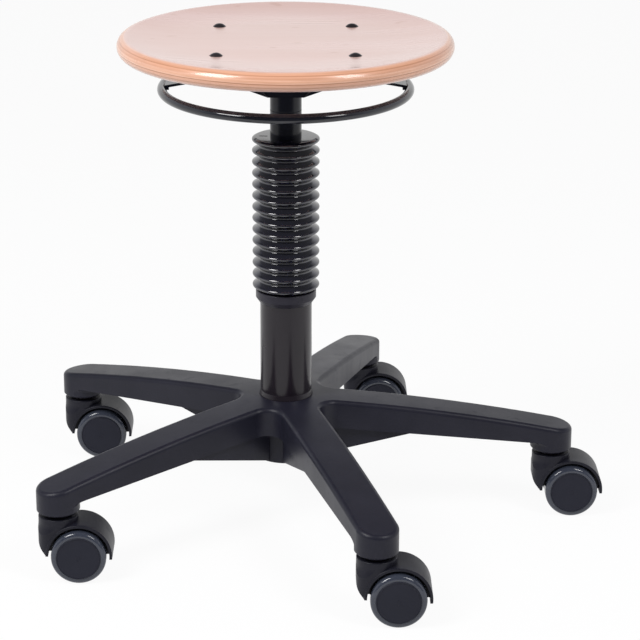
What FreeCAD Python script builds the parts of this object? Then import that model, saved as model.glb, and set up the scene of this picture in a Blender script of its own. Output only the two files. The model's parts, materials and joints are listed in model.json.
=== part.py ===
import FreeCAD, Part
import math
import os

# Machinist stool: dished round plywood seat on a gas column with a ribbed bellows,
# a ring that releases the lift, a five-arm base and five hooded twin-wheel casters.
# Millimetres. The origin is on the floor under the column, +Z is up, and one arm
# points along +X. The stool stands at the top of its lift.

# Base and arms
arm_count = 5
arm_reach = 262.0
arm_half_width = 20.0
arm_wall = 3.6
arm_roof = 4.0
arm_root_fillet = 16.0
arm_edge_fillet = 4.2
arm_mid_radius = 140.0
arm_mid_drop = 11.5
arm_end_drop = 31.5
arm_end_slope = 0.19
arm_skirt_at_hub = -28.0
arm_skirt_at_end = -47.5
hub_height = 62.5
hub_drop = 5.0
hub_edge = 1.5
hub_flat_radius = 28.0
hub_wall = 7.0
rib_thickness = 3.2
rib_offset = 11.5
rib_run_out_radius = 130.0
rib_foot_rise = 2.0
cross_rib_depth = 8.0
cross_rib_places = (90.0, 145.0, 200.0)
foot_radius = 20.5
foot_blend = 6.0
foot_edge = 1.7
foot_wall_gap = 0.4
socket_depth = 21.5
hub_ledge = 3.0

# Casters
wheel_radius = 25.7
wheel_gap = 14.0
wheel_width = 18.0
tread_depth = 4.9
tread_shoulder = 3.6
tread_inner_edge = 1.5
tread_inset = 1.2
disc_proud = 0.7
wheel_disc_thickness = 3.0
wheel_rim_wall = 2.6
wheel_hub_wall = 4.0
wheel_edge = 0.6
axle_end_gap = 1.8
caster_trail = 19.5
hood_clearance = 2.7
hood_shell = 2.6
hood_edge = 0.9
hood_half_width = 19.3
hood_neck_radius = 18.5
hood_rise = 4.5
hood_lip = 0.8
hood_front_tip = 0.1
hood_rear_tip = -3.2
hood_belly = 8.0
hood_corner = 13.0
hood_nose_fillet = 14.0
hood_flare = 6.0
hood_flare_fillet = 20.0
hood_neck_length = 8.0
hood_neck_fillet = 12.0
hood_web = 12.4
axle_radius = 3.0
axle_boss_radius = 7.5
stem_radius = 5.5
stem_tail_radius = 4.5
stem_tail_length = 16.5
stem_flange_radius = 13.0
caster_gap = 3.8
grip_ring_height = 2.2
grip_ring_groove = 0.7
grip_ring_drop = 7.0
grip_ring_split = 2.0
stem_end_gap = 1.0

# Gas column
column_radius = 25.0
column_wall = 1.6
column_length = 162.3
column_taper_length = 38.0
column_taper_shrink = 1.1
column_inset = 6.0
lift_stroke = 100.0
pressure_tube_radius = 14.0
pressure_tube_wall = 1.6
pressure_tube_taper = 0.9
inner_tube_radius = 11.0
inner_tube_wall = 1.5
rod_radius = 5.0
rod_tail_radius = 4.0
rod_groove_depth = 0.8
rod_end_length = 1.6
piston_seat_step = 1.5
piston_seat_length = 2.0
bottom_plate_thickness = 3.0
race_thickness = 1.2
race_radius = 13.0
ball_radius = 1.5
ball_play = 0.02
ball_count = 12
ball_track_radius = 9.0
cage_thickness = 1.4
bump_stop_height = 12.0
bump_stop_radius = 12.0
bump_stop_gap = 0.6
rod_clip_thickness = 1.3
rod_clip_radius = 7.5
rod_guide_height = 16.0
piston_height = 12.0
piston_lift = 3.0
piston_seal_height = 2.0
piston_seal_depth = 1.8
guide_bush_length = 80.0
valve_body_height = 16.0
valve_pin_radius = 3.5
valve_pin_length = 46.0
valve_pocket_depth = 3.0

# Bellows, its collar and its cuff
collar_radius = 29.15
collar_skirt = 10.5
collar_bevel = 4.9
collar_roof = 2.1
collar_foot = 0.8
collar_hole_gap = 2.0
bellows_crest_radius = 32.25
bellows_groove_radius = 26.0
bellows_wall = 2.0
rib_count = 14
rib_pitch = 11.115
rib_root_width = 9.2
rib_crest_width = 3.0
bellows_rise = 0.9
bellows_shoulder = 3.2
bellows_crown = 2.6
cuff_radius = 15.0
cuff_height = 26.0

# Seat socket, seat plate and release ring
socket_radius = 15.0
socket_length = 34.5
socket_neck_length = 16.3
socket_head_radius = 16.5
socket_flare_length = 1.5
socket_edge = 1.0
tube_recess = 2.5
plate_thickness = 2.5
plate_disc_radius = 36.0
plate_arm_half_width = 14.5
plate_flange_start = 24.0
plate_flange_root = 12.0
plate_flange_tip = 8.7
plate_arm_overhang = 12.0
plate_corner_share = 0.7
channel_half_width = 16.0
channel_half_length = 70.0
channel_flat_half = 17.0
channel_depth = 29.6
channel_tip = 10.4
weld_lap = 0.5
lever_gap = 4.0
lever_thickness = 2.5
lever_half_width = 10.0
lever_flat_half = 26.0
lever_roof_gap = 4.5
lever_knee_rise = 3.0
lever_slot_clearance = 2.5
ring_radius = 116.5
ring_rod_radius = 4.5
ring_drop = 19.05
lever_tab_length = 2.5
lever_tab_reach = 1.5
pivot_offset = 22.0
pivot_rise = 0.65
pivot_radius = 2.0
pivot_pin_end = 3.5
knuckle_radius = 3.6
ear_thickness = 3.5
ear_half_length = 5.0

# Seat board and fasteners
seat_radius = 158.0
seat_thickness = 18.0
seat_flat_radius = 80.0
seat_dish = 5.7
bolt_spacing_x = 127.0
bolt_spacing_y = 124.0
bolt_radius = 3.0
bolt_head_radius = 6.2
bolt_head_height = 2.9
bolt_tip = 2.0
nut_half_flats = 5.0
nut_height = 5.0
nut_flange_radius = 7.0
nut_flange_height = 1.4

# Clearances
running_fit = 0.05
free_gap = 0.3
hole_clearance = 0.25

# Heights that follow from the sizes above
axle_height = wheel_radius
hood_radius = wheel_radius + hood_clearance + hood_shell
hood_top = axle_height + hood_radius + hood_rise
foot_bottom = hood_top + caster_gap
arm_end_radius = arm_reach + arm_half_width
hub_bottom = foot_bottom - hub_drop
hub_top = hub_bottom + hub_height
hub_radius = column_radius + hub_wall
column_bottom = hub_bottom + column_inset
column_top = column_bottom + column_length
race_floor = column_bottom + bottom_plate_thickness
cage_space = 2.0 * (ball_radius + ball_play)
upper_race_floor = race_floor + race_thickness + cage_space
rod_shoulder = upper_race_floor + race_thickness
bump_stop_top = rod_shoulder + bump_stop_height
tube_bottom = bump_stop_top + bump_stop_gap + lift_stroke
collar_top = column_top + free_gap + collar_roof
first_rib = collar_top + rib_root_width / 2.0
last_rib = first_rib + (rib_count - 1) * rib_pitch
bellows_top = last_rib + rib_crest_width / 2.0 + bellows_rise
socket_bottom = bellows_top + cuff_height
socket_top = socket_bottom + socket_length
tube_top = socket_top - tube_recess
lever_floor = socket_top + lever_gap
plate_floor = lever_floor + lever_thickness + lever_roof_gap
seat_floor = plate_floor + plate_thickness
seat_face = seat_floor + seat_thickness
ring_height = lever_floor + lever_thickness / 2.0 - ring_drop
valve_pin_top = lever_floor - free_gap
plate_arm_tip = math.hypot(bolt_spacing_x, bolt_spacing_y) / 2.0 + plate_arm_overhang

sides = ("right", "back_right", "back_left", "front_left", "front_right")


def vec(x, y, z):
    return FreeCAD.Vector(x, y, z)


def rounded_wire(corners, place):
    """Closed wire through corners (a, b) or (a, b, radius), laid in space by place."""
    points = [(c[0], c[1]) for c in corners]
    radii = [c[2] if len(c) > 2 else 0.0 for c in corners]
    starts = []
    middles = []
    ends = []
    for i, (a, b) in enumerate(points):
        before = points[i - 1]
        after = points[(i + 1) % len(points)]
        if radii[i] <= 0.0:
            starts.append((a, b))
            middles.append(None)
            ends.append((a, b))
            continue
        to_before = math.hypot(before[0] - a, before[1] - b)
        to_after = math.hypot(after[0] - a, after[1] - b)
        ux, uy = (before[0] - a) / to_before, (before[1] - b) / to_before
        vx, vy = (after[0] - a) / to_after, (after[1] - b) / to_after
        half = math.acos(max(-1.0, min(1.0, ux * vx + uy * vy))) / 2.0
        run = radii[i] / math.tan(half)
        bx, by = ux + vx, uy + vy
        size = math.hypot(bx, by)
        reach = radii[i] / math.sin(half) - radii[i]
        starts.append((a + ux * run, b + uy * run))
        middles.append((a + bx / size * reach, b + by / size * reach))
        ends.append((a + vx * run, b + vy * run))
    edges = []
    for i in range(len(points)):
        if middles[i]:
            arc = Part.Arc(place(*starts[i]), place(*middles[i]), place(*ends[i]))
            edges.append(arc.toShape())
        following = starts[(i + 1) % len(points)]
        if math.hypot(following[0] - ends[i][0], following[1] - ends[i][1]) > 1e-6:
            edges.append(Part.makeLine(place(*ends[i]), place(*following)))
    return Part.Wire(edges)


def turned(corners, axis="z"):
    """Solid of revolution from corners (radius, height, fillet)."""
    if axis == "z":
        wire = rounded_wire(corners, lambda r, h: vec(r, 0, h))
        direction = vec(0, 0, 1)
    else:
        wire = rounded_wire(corners, lambda r, h: vec(r, h, 0))
        direction = vec(0, 1, 0)
    return Part.Face(wire).revolve(vec(0, 0, 0), direction, 360)


def extruded(corners, z_low, z_high):
    """Plan outline raised from z_low to z_high."""
    wire = rounded_wire(corners, lambda x, y: vec(x, y, z_low))
    return Part.Face(wire).extrude(vec(0, 0, z_high - z_low))


def side_profile(corners, y_low, y_high):
    """Outline in the XZ plane carried from y_low to y_high."""
    wire = rounded_wire(corners, lambda x, z: vec(x, y_low, z))
    return Part.Face(wire).extrude(vec(0, y_high - y_low, 0))


def tube(outer, inner, z_low, z_high):
    """Straight tube on the Z axis."""
    return turned([(inner, z_low), (outer, z_low), (outer, z_high), (inner, z_high)])


def rod(radius, z_low, z_high):
    """Straight round bar on the Z axis."""
    return Part.makeCylinder(radius, z_high - z_low, vec(0, 0, z_low))


def cross_bar(radius, x, z, y_low, y_high):
    """Straight round bar along Y."""
    return Part.makeCylinder(radius, y_high - y_low, vec(x, y_low, z), vec(0, 1, 0))


def spun(shape, degrees):
    """Copy of a shape turned about the Z axis."""
    copy = shape.copy()
    copy.rotate(vec(0, 0, 0), vec(0, 0, 1), degrees)
    return copy


def moved(shape, x, y, z=0.0):
    """Copy of a shape shifted without turning."""
    copy = shape.copy()
    copy.translate(vec(x, y, z))
    return copy


def arm_angle(index):
    return index * 360.0 / arm_count


def arm_point(radius, index):
    turn = math.radians(arm_angle(index))
    return radius * math.cos(turn), radius * math.sin(turn)


def at_each_foot(shape):
    return Part.makeCompound([moved(shape, *arm_point(arm_reach, i)) for i in range(arm_count)])


def bolt_points():
    x = bolt_spacing_x / 2.0
    y = bolt_spacing_y / 2.0
    return [(x, y), (-x, y), (-x, -y), (x, -y)]


def single(shape):
    """The one solid inside a boolean result."""
    clean = shape.removeSplitter()
    return clean.Solids[0] if len(clean.Solids) == 1 else clean


# Star base


def star_outline(inset):
    """Plan of the five arms, drawn in by inset all round."""
    half = arm_half_width - inset
    root = half / math.sin(math.radians(180.0 / arm_count))
    corners = []
    for i in range(arm_count):
        turn = math.radians(arm_angle(i))
        notch = turn - math.radians(180.0 / arm_count)
        corners.append((root * math.cos(notch), root * math.sin(notch), arm_root_fillet + inset))
        for side in (-half, half):
            x = (arm_end_radius - inset) * math.cos(turn) - side * math.sin(turn)
            y = (arm_end_radius - inset) * math.sin(turn) + side * math.cos(turn)
            corners.append((x, y, half))
    return corners


def arm_layer(top_drop, low_at_hub, low_at_end, reach):
    """Ring-shaped slice between the arched top, lowered by top_drop, and a sloping floor."""
    top = hub_top - top_drop
    crown = vec(hub_flat_radius, 0, top)
    middle = vec(arm_mid_radius, 0, top - arm_mid_drop)
    end = vec(reach, 0, top - arm_end_drop - (reach - arm_reach) * arm_end_slope)
    edges = [
        Part.makeLine(vec(0, 0, top), crown),
        Part.Arc(crown, middle, end).toShape(),
        Part.makeLine(end, vec(reach, 0, low_at_end)),
        Part.makeLine(vec(reach, 0, low_at_end), vec(hub_radius, 0, low_at_hub)),
        Part.makeLine(vec(hub_radius, 0, low_at_hub), vec(0, 0, low_at_hub)),
        Part.makeLine(vec(0, 0, low_at_hub), vec(0, 0, top)),
    ]
    layer = Part.Face(Part.Wire(edges)).revolve(vec(0, 0, 0), vec(0, 0, 1), 360)
    return spun(layer, 180.0 / arm_count)


def skirt_slope():
    return (arm_skirt_at_end - arm_skirt_at_hub) / (arm_reach - hub_radius)


def skirt_height(radius):
    """Height of the arms' lower edge at a distance from the column."""
    return hub_top + arm_skirt_at_hub + skirt_slope() * (radius - hub_radius)


def upper_edges(body):
    """Edges between the arched top and the walls of the arms."""
    picked = []
    for edge in body.Edges:
        points = edge.discretize(3)
        run = math.hypot(points[0].x - points[-1].x, points[0].y - points[-1].y)
        clear = [p.z - skirt_height(math.hypot(p.x, p.y)) for p in points]
        if run > 0.01 and min(clear) > arm_roof:
            picked.append(edge)
    return picked


def make_foot():
    """Boss under the end of an arm, about its own axis, curving into the lower edge."""
    web = skirt_height(arm_reach)
    return turned(
        [
            (0.0, foot_bottom),
            (foot_radius - foot_edge, foot_bottom),
            (foot_radius, foot_bottom + foot_edge),
            (foot_radius, web, foot_blend * 0.8),
            (foot_radius + foot_blend, web + 1.5),
            (foot_radius + foot_blend, web + arm_roof),
            (0.0, web + arm_roof),
        ]
    )


def make_star_base():
    reach = arm_end_radius + 15.0
    low = hub_bottom - 5.0
    plan = extruded(star_outline(0.0), low, hub_top + 5.0)
    layer = arm_layer(0.0, skirt_height(hub_radius), skirt_height(reach), reach)
    body = plan.common(layer.multiFuse(at_each_foot(make_foot()).Solids)).removeSplitter()
    body = body.makeFillet(arm_edge_fillet, upper_edges(body))
    hollow_plan = extruded(star_outline(arm_wall), low, hub_top + 5.0)
    hollow = hollow_plan.common(arm_layer(arm_roof, low, low, reach))
    bosses = at_each_foot(rod(foot_radius + foot_wall_gap, low, hub_top)).Solids
    body = body.cut(hollow.cut(bosses[0].multiFuse(bosses[1:])))
    under_roof = plan.common(arm_layer(arm_roof / 2.0, low, low, reach))
    body = body.fuse(make_arm_ribs().common(under_roof))
    hub = turned(
        [
            (0.0, hub_bottom),
            (hub_radius, hub_bottom, hub_edge),
            (hub_radius, hub_top - 1.0),
            (0.0, hub_top - 1.0),
        ]
    )
    body = body.fuse(hub).cut(column_bore())
    sockets = at_each_foot(rod(stem_radius, foot_bottom - 1.0, foot_bottom + socket_depth)).Solids
    return single(body.cut(sockets[0].multiFuse(sockets[1:])))


def make_arm_ribs():
    """Two deep ribs and three low cross ribs under each arm, as one shape."""
    start = hub_radius - 2.0
    outline = [
        (start, 0.0, hub_bottom + rib_foot_rise),
        (rib_run_out_radius, 0.0, skirt_height(rib_run_out_radius)),
        (arm_reach, 0.0, skirt_height(arm_reach) + rib_foot_rise),
        (arm_reach, 0.0, hub_top),
        (start, 0.0, hub_top),
    ]
    face = Part.Face(Part.makePolygon([vec(*p) for p in outline + outline[:1]]))
    blade = face.extrude(vec(0, rib_thickness, 0))
    width = 2.0 * arm_half_width - arm_wall
    depth = arm_roof + cross_rib_depth
    shapes = []
    for i in range(arm_count):
        for side in (-rib_offset, rib_offset):
            shapes.append(spun(moved(blade, 0, side - rib_thickness / 2.0), arm_angle(i)))
        for radius in cross_rib_places:
            top = hub_top - arm_mid_drop * radius / arm_mid_radius
            bar = Part.makeBox(rib_thickness, width, depth, vec(radius, -width / 2.0, top - depth))
            shapes.append(spun(bar, arm_angle(i)))
    return shapes[0].multiFuse(shapes[1:])


def column_bore():
    """Tapered seat of the column, with a ledge under the tube and an open floor."""
    low = column_radius - column_taper_shrink
    ledge = low - hub_ledge
    return turned(
        [
            (0.0, hub_bottom - 1.0),
            (ledge, hub_bottom - 1.0),
            (ledge, column_bottom),
            (low, column_bottom),
            (column_radius, column_bottom + column_taper_length),
            (column_radius, hub_top + 1.0),
            (0.0, hub_top + 1.0),
        ]
    )


# Gas column


def make_column_tube():
    low = column_radius - column_taper_shrink
    knee = column_bottom + column_taper_length
    return turned(
        [
            (low - column_wall, column_bottom),
            (low, column_bottom),
            (column_radius, knee),
            (column_radius, column_top),
            (column_radius - column_wall, column_top),
            (column_radius - column_wall, knee),
        ]
    )


def make_bottom_plate():
    radius = column_radius - column_taper_shrink - column_wall
    return tube(radius, rod_tail_radius + running_fit, column_bottom, race_floor)


def make_lower_race():
    return tube(race_radius, rod_tail_radius + free_gap, race_floor, race_floor + race_thickness)


def make_upper_race():
    return tube(race_radius, rod_tail_radius, upper_race_floor, rod_shoulder)


def make_bearing_cage():
    """Flat cage and its balls, as separate solids."""
    middle = race_floor + race_thickness + cage_space / 2.0
    low = middle - cage_thickness / 2.0
    cage = tube(race_radius - 1.0, rod_tail_radius + free_gap, low, low + cage_thickness)
    balls = []
    for i in range(ball_count):
        turn = 2.0 * math.pi * i / ball_count
        x = ball_track_radius * math.cos(turn)
        y = ball_track_radius * math.sin(turn)
        cage = cage.cut(moved(rod(ball_radius + running_fit, low - 1.0, low + 3.0), x, y))
        balls.append(Part.makeSphere(ball_radius, vec(x, y, middle)))
    return Part.makeCompound([cage.Solids[0]] + balls)


def make_bump_stop():
    return turned(
        [
            (rod_radius, rod_shoulder),
            (bump_stop_radius, rod_shoulder),
            (bump_stop_radius, bump_stop_top, 2.0),
            (rod_radius, bump_stop_top),
        ]
    )


def rod_clip_floor():
    return column_bottom - free_gap - rod_clip_thickness


def make_rod_clip():
    """Open retaining clip in the groove at the foot of the rod."""
    low = rod_clip_floor()
    groove = rod_tail_radius - rod_groove_depth
    clip = tube(rod_clip_radius, groove, low, low + rod_clip_thickness)
    mouth = Part.makeBox(
        rod_clip_radius + 1.0, 2.0 * groove - 0.4, 3.0, vec(0, 0.2 - groove, low - 1.0)
    )
    return clip.cut(mouth)


def piston_floor():
    return tube_bottom + rod_guide_height + piston_lift


def make_piston_rod():
    clip_low = rod_clip_floor()
    groove = rod_tail_radius - rod_groove_depth
    top = piston_floor()
    return turned(
        [
            (0.0, clip_low - rod_end_length),
            (rod_tail_radius, clip_low - rod_end_length, 0.6),
            (rod_tail_radius, clip_low),
            (groove, clip_low),
            (groove, clip_low + rod_clip_thickness),
            (rod_tail_radius, clip_low + rod_clip_thickness),
            (rod_tail_radius, rod_shoulder),
            (rod_radius, rod_shoulder),
            (rod_radius, top),
            (rod_radius - piston_seat_step, top),
            (rod_radius - piston_seat_step, top + piston_height + piston_seat_length),
            (0.0, top + piston_height + piston_seat_length),
        ]
    )


def seal_band():
    middle = piston_floor() + piston_height / 2.0
    return middle - piston_seal_height / 2.0, middle + piston_seal_height / 2.0


def make_piston():
    low = piston_floor()
    seal_low, seal_high = seal_band()
    bore = inner_tube_radius - inner_tube_wall
    outer = bore - running_fit
    inner = rod_radius - piston_seat_step
    return turned(
        [
            (inner, low),
            (outer, low),
            (outer, seal_low),
            (bore - piston_seal_depth, seal_low),
            (bore - piston_seal_depth, seal_high),
            (outer, seal_high),
            (outer, low + piston_height),
            (inner, low + piston_height),
        ]
    )


def make_piston_seal():
    seal_low, seal_high = seal_band()
    bore = inner_tube_radius - inner_tube_wall
    return tube(bore - running_fit / 2.0, bore - piston_seal_depth, seal_low, seal_high)


def make_guide_bush():
    bore = pressure_tube_radius + running_fit
    return tube(column_radius - column_wall, bore, column_top - guide_bush_length, column_top)


def make_pressure_tube():
    inner = pressure_tube_radius - pressure_tube_wall
    return turned(
        [
            (inner, tube_bottom),
            (pressure_tube_radius, tube_bottom),
            (pressure_tube_radius, socket_bottom),
            (pressure_tube_radius - pressure_tube_taper, tube_top),
            (inner - pressure_tube_taper, tube_top),
            (inner, socket_bottom),
        ]
    )


def make_rod_guide():
    outer = pressure_tube_radius - pressure_tube_wall
    return tube(outer, rod_radius + running_fit, tube_bottom, tube_bottom + rod_guide_height)


def valve_floor():
    return socket_bottom - valve_body_height


def make_inner_tube():
    low = tube_bottom + rod_guide_height
    return tube(inner_tube_radius, inner_tube_radius - inner_tube_wall, low, valve_floor())


def make_valve_body():
    inner = pressure_tube_radius - pressure_tube_wall
    pocket = valve_pin_top - valve_pin_length - valve_pocket_depth
    bore = valve_pin_radius + running_fit
    return turned(
        [
            (0.0, valve_floor()),
            (inner, valve_floor()),
            (inner, socket_bottom),
            (inner - pressure_tube_taper, tube_top),
            (bore, tube_top),
            (bore, pocket),
            (0.0, pocket),
        ]
    )


def make_valve_pin():
    low = valve_pin_top - valve_pin_length
    return turned(
        [
            (0.0, low),
            (valve_pin_radius, low),
            (valve_pin_radius, valve_pin_top, 1.0),
            (0.0, valve_pin_top),
        ]
    )


# Bellows


def make_bellows():
    """Ribbed sleeve: a ruled skin through four circles a rib, bored out, with a closed crown."""
    circles = []
    for i in range(rib_count):
        middle = first_rib + i * rib_pitch
        for offset, radius in (
            (-rib_root_width / 2.0, bellows_groove_radius),
            (-rib_crest_width / 2.0, bellows_crest_radius),
            (rib_crest_width / 2.0, bellows_crest_radius),
            (rib_root_width / 2.0, bellows_groove_radius),
        ):
            circle = Part.Circle(vec(0, 0, middle + offset), vec(0, 0, 1), radius)
            circle.XAxis = vec(1, 0, 0)
            circles.append(Part.Wire(circle.toShape()))
    skin = Part.makeLoft(circles, True, True)
    crown = bellows_crest_radius - bellows_shoulder
    skin = skin.common(rod(bellows_crest_radius + 5.0, collar_top, last_rib + rib_crest_width / 2.0))
    cap = Part.makeCone(
        bellows_crest_radius,
        crown,
        bellows_top - last_rib - rib_crest_width / 2.0,
        vec(0, 0, last_rib + rib_crest_width / 2.0),
    )
    skin = skin.fuse(cap)
    bore = rod(bellows_groove_radius - bellows_wall, collar_top - 1.0, bellows_top - bellows_crown)
    hole = rod(pressure_tube_radius + free_gap, collar_top, bellows_top + 1.0)
    return single(skin.cut(bore).cut(hole))


def make_collar():
    roof = collar_top - collar_roof
    bore = column_radius + free_gap
    low = collar_top - collar_skirt - collar_roof
    return turned(
        [
            (pressure_tube_radius + collar_hole_gap, roof),
            (bore, roof),
            (bore, low),
            (column_radius + collar_foot, low),
            (collar_radius, low + collar_bevel),
            (collar_radius, collar_top, 1.0),
            (pressure_tube_radius + collar_hole_gap, collar_top),
        ]
    )


def make_cuff():
    return tube(cuff_radius, pressure_tube_radius, bellows_top, socket_bottom)


# Seat socket and plate


def make_seat_socket():
    neck = socket_bottom + socket_neck_length
    bore_top = pressure_tube_radius - pressure_tube_taper
    return turned(
        [
            (pressure_tube_radius, socket_bottom),
            (socket_radius, socket_bottom, socket_edge),
            (socket_radius, neck),
            (socket_head_radius, neck + socket_flare_length),
            (socket_head_radius, socket_top),
            (bore_top, socket_top),
            (bore_top, tube_top),
        ]
    )


def plate_arm_turns():
    return [math.degrees(math.atan2(y, x)) for x, y in bolt_points()]


def make_plate_arm():
    """One channel-shaped arm of the plate, along +X."""
    half = plate_arm_half_width
    corner = half * plate_corner_share
    sheet = extruded(
        [
            (0.0, -half),
            (plate_arm_tip, -half, corner),
            (plate_arm_tip, half, corner),
            (0.0, half),
        ],
        plate_floor,
        seat_floor,
    )
    root = plate_floor - plate_flange_root
    tip = plate_floor - plate_flange_tip
    flange = side_profile(
        [
            (plate_flange_start, root),
            (plate_arm_tip - half, tip),
            (plate_arm_tip - half, plate_floor + weld_lap),
            (plate_flange_start, plate_floor + weld_lap),
        ],
        0.0,
        plate_thickness,
    )
    walls = [moved(flange, 0, -half), moved(flange, 0, half - plate_thickness)]
    return sheet.multiFuse(walls)


def make_plate_channel():
    """Channel along X that grips the socket and carries the pivot of the lever."""
    length = channel_half_length
    flange = side_profile(
        [
            (-length, plate_floor - channel_tip),
            (-channel_flat_half, plate_floor - channel_depth),
            (channel_flat_half, plate_floor - channel_depth),
            (length, plate_floor - channel_tip),
            (length, plate_floor + weld_lap),
            (-length, plate_floor + weld_lap),
        ],
        0.0,
        plate_thickness,
    )
    outside = channel_half_width + plate_thickness
    roof = Part.makeBox(2.0 * length, 2.0 * outside, plate_thickness, vec(-length, -outside, plate_floor))
    return roof.multiFuse([moved(flange, 0, -outside), moved(flange, 0, channel_half_width)])


def pivot_height():
    return lever_floor + lever_thickness / 2.0 + pivot_rise


def make_seat_plate():
    plate = rod(plate_disc_radius, plate_floor, seat_floor)
    arm = make_plate_arm()
    plate = plate.multiFuse([spun(arm, turn) for turn in plate_arm_turns()] + [make_plate_channel()])
    plate = plate.cut(rod(socket_head_radius, socket_bottom, plate_floor))
    slot_half = lever_half_width + lever_slot_clearance
    slot_low = lever_floor - lever_slot_clearance - lever_thickness * 2.0
    slot = Part.makeBox(
        4.0 * lever_flat_half,
        2.0 * slot_half,
        plate_floor - slot_low,
        vec(-2.0 * lever_flat_half, -slot_half, slot_low),
    )
    plate = plate.cut(slot)
    for side in (-slot_half - ear_thickness, slot_half):
        ear = Part.makeBox(
            2.0 * ear_half_length,
            ear_thickness,
            plate_floor - pivot_height() + ear_half_length,
            vec(pivot_offset - ear_half_length, side, pivot_height() - ear_half_length),
        )
        plate = plate.fuse(ear)
    plate = plate.cut(cross_bar(pivot_radius, pivot_offset, pivot_height(), -40.0, 40.0))
    for x, y in bolt_points():
        plate = plate.cut(moved(rod(bolt_radius + hole_clearance, plate_floor - 1.0, seat_face), x, y))
    return single(plate)


def make_pivot_pin():
    half = lever_half_width + lever_slot_clearance + ear_thickness + pivot_pin_end
    return cross_bar(pivot_radius, pivot_offset, pivot_height(), -half, half)


# Release ring


def make_ring():
    return Part.makeTorus(ring_radius, ring_rod_radius, vec(0, 0, ring_height))


def lever_side():
    """Outline of the bent strip from its left end to its right end."""
    end = ring_radius - ring_rod_radius + lever_tab_reach
    knee_x = end - lever_tab_reach - lever_thickness
    knee_z = ring_height + lever_knee_rise
    rise = (lever_floor - knee_z) / (knee_x - lever_flat_half)
    step = lever_thickness * math.sqrt(1.0 + rise * rise)
    half = [
        (lever_flat_half, lever_floor),
        (knee_x, knee_z),
        (knee_x, knee_z - lever_tab_length),
        (end, knee_z - lever_tab_length),
        (end, knee_z - rise * (end - knee_x) + step),
        (lever_flat_half, lever_floor + lever_thickness),
    ]
    return half + [(-x, z) for x, z in reversed(half)]


def make_lever():
    """Bent flat strip across the ring, with the knuckle of its pivot."""
    strip = side_profile(lever_side(), -lever_half_width, lever_half_width)
    knuckle = cross_bar(
        knuckle_radius, pivot_offset, pivot_height(), -lever_half_width, lever_half_width
    )
    strip = strip.fuse(knuckle)
    bore = cross_bar(pivot_radius + running_fit, pivot_offset, pivot_height(), -40.0, 40.0)
    return single(strip.cut(bore).cut(make_ring()))


# Seat board and fasteners


def make_seat_board():
    """Pressed plywood disc with a flat middle, a dished border and a bull-nosed edge."""
    half = seat_thickness / 2.0
    run = seat_radius - half - seat_flat_radius
    radius = (run * run + seat_dish * seat_dish) / (2.0 * seat_dish)
    tilt = math.asin(run / radius)
    centre_z = seat_floor + half + radius

    def arc_point(offset, share):
        reach = radius + offset
        angle = tilt * share
        return vec(seat_flat_radius + reach * math.sin(angle), 0, centre_z - reach * math.cos(angle))

    nose_x = seat_flat_radius + radius * math.sin(tilt) + half * math.cos(tilt)
    nose_z = centre_z - radius * math.cos(tilt) + half * math.sin(tilt)
    edges = [
        Part.makeLine(vec(0, 0, seat_floor), vec(seat_flat_radius, 0, seat_floor)),
        Part.Arc(arc_point(half, 0.0), arc_point(half, 0.5), arc_point(half, 1.0)).toShape(),
        Part.Arc(arc_point(half, 1.0), vec(nose_x, 0, nose_z), arc_point(-half, 1.0)).toShape(),
        Part.Arc(arc_point(-half, 1.0), arc_point(-half, 0.5), arc_point(-half, 0.0)).toShape(),
        Part.makeLine(vec(seat_flat_radius, 0, seat_face), vec(0, 0, seat_face)),
        Part.makeLine(vec(0, 0, seat_face), vec(0, 0, seat_floor)),
    ]
    board = Part.Face(Part.Wire(edges)).revolve(vec(0, 0, 0), vec(0, 0, 1), 360)
    for x, y in bolt_points():
        board = board.cut(moved(rod(bolt_radius + hole_clearance, seat_floor - 1.0, seat_face + 9.0), x, y))
        board = board.cut(moved(rod(bolt_head_radius + 0.1, seat_face, seat_face + 9.0), x, y))
    return single(board)


def bolt_foot():
    return plate_floor - nut_height - bolt_tip


def make_seat_bolts():
    """Four dome-headed bolts."""
    reach = bolt_head_radius
    rise = bolt_head_height
    dome = (reach * reach + rise * rise) / (2.0 * rise)
    top = seat_face + rise
    half_angle = math.asin(reach / dome) / 2.0
    edges = [
        Part.makeLine(vec(0, 0, bolt_foot()), vec(bolt_radius, 0, bolt_foot())),
        Part.makeLine(vec(bolt_radius, 0, bolt_foot()), vec(bolt_radius, 0, seat_face)),
        Part.makeLine(vec(bolt_radius, 0, seat_face), vec(reach, 0, seat_face)),
        Part.Arc(
            vec(reach, 0, seat_face),
            vec(dome * math.sin(half_angle), 0, top - dome + dome * math.cos(half_angle)),
            vec(0, 0, top),
        ).toShape(),
        Part.makeLine(vec(0, 0, top), vec(0, 0, bolt_foot())),
    ]
    bolt = Part.Face(Part.Wire(edges)).revolve(vec(0, 0, 0), vec(0, 0, 1), 360)
    return Part.makeCompound([moved(bolt, x, y) for x, y in bolt_points()])


def make_seat_nuts():
    """Four flanged hexagon nuts under the plate."""
    across = nut_half_flats / math.cos(math.radians(30.0))
    corners = [
        (across * math.cos(math.radians(60.0 * i)), across * math.sin(math.radians(60.0 * i)))
        for i in range(6)
    ]
    low = plate_floor - nut_height
    nut = extruded(corners, low, plate_floor)
    nut = nut.fuse(rod(nut_flange_radius, plate_floor - nut_flange_height, plate_floor))
    nut = single(nut.cut(rod(bolt_radius, low - 1.0, plate_floor + 1.0)))
    return Part.makeCompound([moved(nut, x, y) for x, y in bolt_points()])


# Casters


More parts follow.
